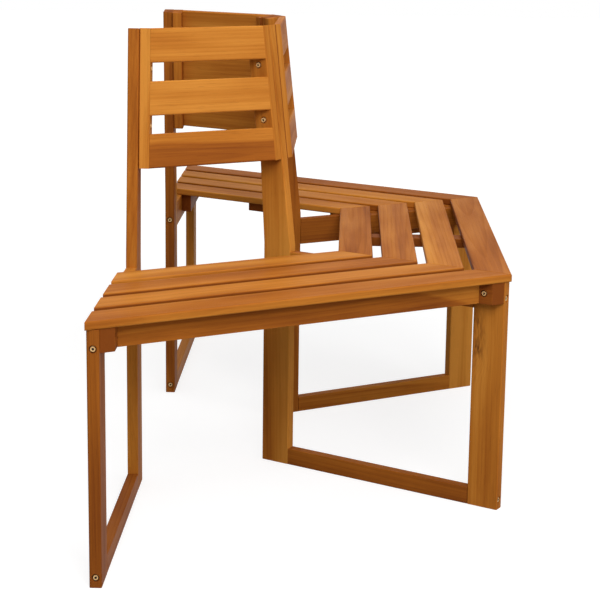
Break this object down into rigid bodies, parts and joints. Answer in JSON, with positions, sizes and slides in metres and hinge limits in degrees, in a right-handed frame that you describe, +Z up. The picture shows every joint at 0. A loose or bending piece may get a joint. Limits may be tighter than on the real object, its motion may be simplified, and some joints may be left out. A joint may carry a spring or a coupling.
{
  "type": "tree bench",
  "caption": "Half-hexagon slatted hardwood bench that wraps a tree trunk, with mitred seats, board leg frames and reclined slatted backrests.",
  "frame": {"origin": "on the ground, in the middle of the bench's bounding rectangle; the tree axis stands at X 0, Y 0.34641 m", "axes": "+Z up; +X from the left end to the right end; +Y from the middle seat's front edge toward the tree"},
  "size_m": [1.6, 0.6928, 0.852],
  "materials": {
    "seat_boards": "oiled, semi-gloss",
    "seat_supports": "oiled, satin",
    "back_boards": "oiled, semi-gloss",
    "frame_boards": "oiled, satin",
    "bolts": "yellow-plated, satin",
    "screws": "plain",
    "dowels": "bare"
  },
  "bodies": {
    "root": {"back_bolts": "bolts", "back_dowels": "dowels", "cleat_bolts": "bolts", "frame_bolts": "bolts", "left_back_left_stile": "back_boards", "left_back_right_stile": "back_boards", "left_back_slat_1": "back_boards", "left_back_slat_2": "back_boards", "left_back_slat_3": "back_boards", "left_corner_bottom_rail": "frame_boards", "left_corner_leg": "frame_boards", "left_corner_post": "frame_boards", "left_corner_top_rail": "frame_boards", "left_end_bottom_rail": "frame_boards", "left_end_leg": "frame_boards", "left_end_post": "frame_boards", "left_end_top_rail": "frame_boards", "left_seat_apron": "seat_supports", "left_seat_batten": "seat_supports", "left_seat_left_cleat": "seat_supports", "left_seat_right_cleat": "seat_supports", "left_seat_slat_1": "seat_boards", "left_seat_slat_2": "seat_boards", "left_seat_slat_3": "seat_boards", "left_seat_slat_4": "seat_boards", "middle_back_left_stile": "back_boards", "middle_back_right_stile": "back_boards", "middle_back_slat_1": "back_boards", "middle_back_slat_2": "back_boards", "middle_back_slat_3": "back_boards", "middle_seat_apron": "seat_supports", "middle_seat_batten": "seat_supports", "middle_seat_left_cleat": "seat_supports", "middle_seat_right_cleat": "seat_supports", "middle_seat_slat_1": "seat_boards", "middle_seat_slat_2": "seat_boards", "middle_seat_slat_3": "seat_boards", "middle_seat_slat_4": "seat_boards", "right_back_left_stile": "back_boards", "right_back_right_stile": "back_boards", "right_back_slat_1": "back_boards", "right_back_slat_2": "back_boards", "right_back_slat_3": "back_boards", "right_corner_bottom_rail": "frame_boards", "right_corner_leg": "frame_boards", "right_corner_post": "frame_boards", "right_corner_top_rail": "frame_boards", "right_end_bottom_rail": "frame_boards", "right_end_leg": "frame_boards", "right_end_post": "frame_boards", "right_end_top_rail": "frame_boards", "right_seat_apron": "seat_supports", "right_seat_batten": "seat_supports", "right_seat_left_cleat": "seat_supports", "right_seat_right_cleat": "seat_supports", "right_seat_slat_1": "seat_boards", "right_seat_slat_2": "seat_boards", "right_seat_slat_3": "seat_boards", "right_seat_slat_4": "seat_boards", "seat_screws": "screws"}
  },
  "joints": []
}
